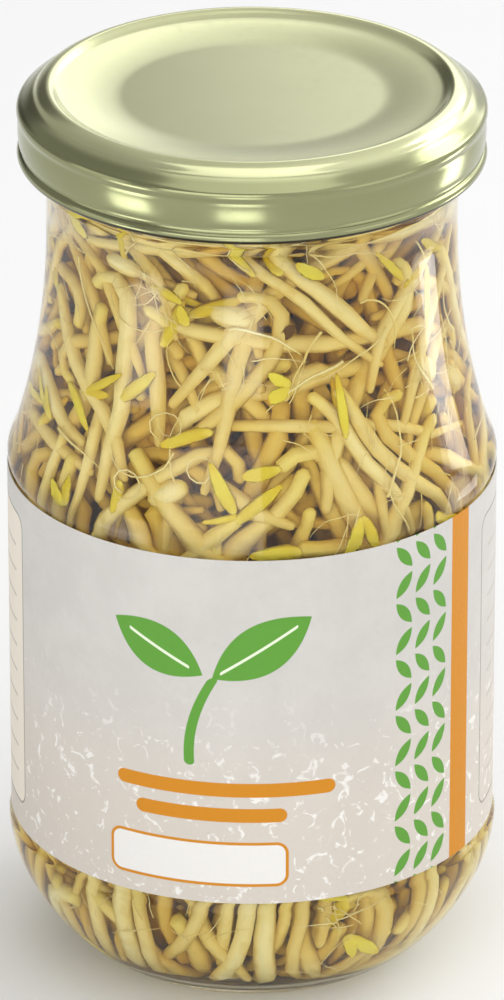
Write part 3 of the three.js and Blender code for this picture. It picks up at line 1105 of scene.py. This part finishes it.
def print_seedling(colour, u, v):
    """A curved stem with two large leaves, each with a pale vein."""
    bow = (v - 45) * 0.16
    stem = rounded_box((u + 9) - bow * bow, v, (0, 50), (1.5, 14), 0.7)
    plant = stem.low(leaf_shape(u, v, (-13.6, 60.8), 15, 7.2, 152))
    plant = plant.low(leaf_shape(u, v, (1.4, 61.6), 17, 7.6, 34))
    vein = rounded_box((v - 61.6) - (u - 1.4) * 0.67, u, (0, 1.0), (0.5, 11), 0.2)
    vein = vein.low(rounded_box((v - 60.8) + (u + 13.6) * 0.53, u, (0, -13.4), (0.5, 9), 0.2))
    return mix(mix(colour, GREEN, fill(plant)), srgb(226, 236, 208), fill(vein))


# %% Bars and an empty panel


def print_bars(colour, u, v):
    long_bar = rounded_box(u, v, (-4, 39.4), (32, 2.2), 1.1)
    short_bar = rounded_box(u, v, (-6, 35.4), (22, 2.2), 1.1)
    panel = rounded_box(u, v, (-8, 27.6), (26, 6.6), 1.6)
    colour = mix(colour, ORANGE, fill(long_bar.low(short_bar)))
    colour = mix(colour, srgb(232, 230, 226), fill(panel))
    return mix(colour, ORANGE, outline(panel, 0.45))


# %% A border of leaves and a stripe
LEAF_ROW, LEAF_COLUMN = 4.4, 3.5


def print_border(colour, u, v):
    """Columns of leaves that lean the other way in every second row, and an orange stripe beside them."""
    border = rounded_box(u, v, (26.5, 48.4), (10.5, 60), 0.2)
    row = (v * (1 / LEAF_ROW)).math("FRACT") * LEAF_ROW
    column = ((u - 21.25) * (1 / LEAF_COLUMN)).math("FRACT") * LEAF_COLUMN
    side = ((v * (1 / (2 * LEAF_ROW))).math("FRACT") - 0.5).math("SIGN")
    leaning = leaf_shape((column - LEAF_COLUMN / 2) * side, row, (0, LEAF_ROW / 2), 4.6, 1.7, 52)
    stripe = rounded_box(u, v, (35, 48.4), (4.4, 60), 0.2)
    return mix(mix(colour, GREEN, fill(leaning.high(border))), ORANGE, fill(stripe))


# %% Ruled panels round the back
RULE_STEP = 4.0


def print_panels(colour, u, v):
    """A panel at each side of the back, with a thin grey edge and faint rules, the left one tinted."""
    back = u.math("ABSOLUTE")
    panels = rounded_box(back, v, (57, 48.4), (30, 46), 2.2)
    colour = mix(colour, srgb(233, 224, 208), fill(panels) * (1 - u.step(0, 1)))
    colour = mix(colour, GREY, outline(panels, 0.3))
    rules = ((v * (1 / RULE_STEP)).math("FRACT") - 0.5).math("ABSOLUTE")
    ruled = fill((rules - 0.06) * RULE_STEP) * fill(rounded_box(back, v, (57, 48.4), (24, 38), 0.2))
    return mix(colour, srgb(188, 182, 170), ruled * 0.8)


# %% The printed paper


def label_material():
    made, shader, place = new_material("label_paper", Specular_IOR_Level=0.35)
    x, y, z = place.axes()
    u = x.node("ShaderNodeMath", {0: x, 1: y * -1.0}, operation="ARCTAN2") * PANEL_RADIUS
    v = z * (1 / MM)
    clouds = place.noise(90.0, 5.0, Roughness=0.65)
    fibres = place.noise(1400.0, 3.0)
    colour = paper(place, v, fibres, clouds)
    for draw in (print_seedling, print_bars, print_border, print_panels):
        colour = draw(colour, u, v)
    feed(shader, "Base Color", colour)
    feed(shader, "Roughness", fibres * 0.2 + 0.45)
    bump(shader, fibres + clouds * 0.5, 0.00006)
    return made


# %% [markdown]
# The strip of paper
#
# The label goes once round and a little further, so its end lies over its start at the back. There the
# strip climbs by its own thickness.

# %% Label strip


def label_ring(bm, turned):
    """The four corners of the strip's section, at an angle in degrees from its start at the back."""
    lift = LABEL_THICK * 1.15 * min(1, max(0, turned - 360 + LABEL_CLIMB) / LABEL_CLIMB)
    angle = math.radians(90 + turned)
    inner, outer = LABEL_INNER + lift, LABEL_INNER + lift + LABEL_THICK
    corners = ((inner, LABEL_BOTTOM), (outer, LABEL_BOTTOM), (outer, LABEL_TOP), (inner, LABEL_TOP))
    return [bm.verts.new((r * math.cos(angle), r * math.sin(angle), z)) for r, z in corners]


def label_strip():
    bm = bmesh.new()
    total = 360 + LABEL_LAP
    rings = [label_ring(bm, total * i / LABEL_STEPS) for i in range(LABEL_STEPS + 1)]
    for near, far in zip(rings, rings[1:]):
        for k in range(4):
            bm.faces.new((near[k - 1], near[k], far[k], far[k - 1]))
    bm.faces.new(rings[0])
    bm.faces.new(rings[-1])
    bmesh.ops.recalc_face_normals(bm, faces=bm.faces)
    return bm


label = link(label_strip(), "label_band", label_material(), smooth=False)
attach(label, "jar")
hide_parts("label")
print("Label has", len(label.data.polygons), "faces")

# %% [markdown]
# Floor and light
#
# The sky is a soft white that is brighter on the right, with a dark patch low at the back left. The lid's
# dish and shoulder mirror both, so they shade from side to side. Large softboxes light the label and the
# sprouts, and small ones near the table make the soft spots on the lid's skirt.

# %% Floor
floor_bm = bmesh.new()
bmesh.ops.create_grid(floor_bm, x_segments=1, y_segments=1, size=3000)
floor_material, floor_shader, floor_place = new_material("floor", Roughness=0.9)
speckle = floor_place.noise(30.0, 2.0)
feed(floor_shader, "Base Color", mix((0.9, 0.9, 0.9), (0.92, 0.92, 0.92), speckle))
floor = link(floor_bm, "floor", floor_material)
print("The floor is", [round(side, 1) for side in floor.dimensions], "m")

# %% Sky
world = bpy.data.worlds.new("studio")
world.use_nodes = True
sky = world.node_tree.nodes["Background"]
way_out = Sum(world.node_tree, world.node_tree.nodes.new("ShaderNodeTexCoord").outputs["Generated"])
right, back, up = way_out.axes()
sky_colour = mix((0.36, 0.36, 0.36), (1.0, 1.0, 1.0), right.step(-0.8, 0.8))
patch = (back * 0.87 - right * 0.36 + up * 0.33).step(0.945, 0.99)
sky_colour = mix(sky_colour, (0.05, 0.05, 0.05), patch)
world.node_tree.links.new(sky_colour.socket, sky.inputs["Color"])
bpy.context.scene.world = world
bpy.context.scene.view_settings.view_transform = "Standard"


# %% Softboxes


def softbox(name, place, size, brightness, aim=(0, 0, 0.07), spread=180):
    """A lamp with a given brightness of its face, 1 being white."""
    lamp = bpy.data.lights.new(name, "AREA")
    lamp.shape = "RECTANGLE"
    lamp.size, lamp.size_y = size
    lamp.energy = brightness * math.pi * size[0] * size[1]
    lamp.spread = math.radians(spread)
    made = bpy.data.objects.new(name, lamp)
    made.location = place
    made.rotation_euler = (Vector(aim) - Vector(place)).to_track_quat("-Z", "Y").to_euler()
    bpy.context.collection.objects.link(made)


LID = (0, 0, 0.128)  # what the lamps for the lid aim at
softbox("overhead", (0.0, -0.4, 1.3), (1.1, 1.1), 0.95)
softbox("back_right", (0.9, 0.9, 0.75), (1.0, 0.8), 0.85)
softbox("lid_back", (0.29, 0.9, 0.55), (0.62, 0.5), 0.95)
softbox("key_front", (-0.5, -1.45, 0.38), (1.4, 0.75), 1.9)
softbox("fill_left", (-1.3, -0.3, 0.3), (0.8, 0.8), 0.8)
softbox("fill_right", (1.2, -0.6, 0.3), (0.9, 0.7), 0.55)
softbox("shoulder_right", (0.315, 0.182, 0.34), (0.14, 0.2), 3.6, LID)
softbox("spot_left", (-0.216, -0.132, 0.034), (0.09, 0.055), 0.4, LID, 60)
softbox("spot_front", (-0.024, -0.252, 0.034), (0.09, 0.055), 0.3, LID, 60)
softbox("spot_right", (0.24, 0.09, 0.034), (0.07, 0.06), 0.7, LID, 70)
print("Softboxes:", [lamp.name for lamp in bpy.data.lights])
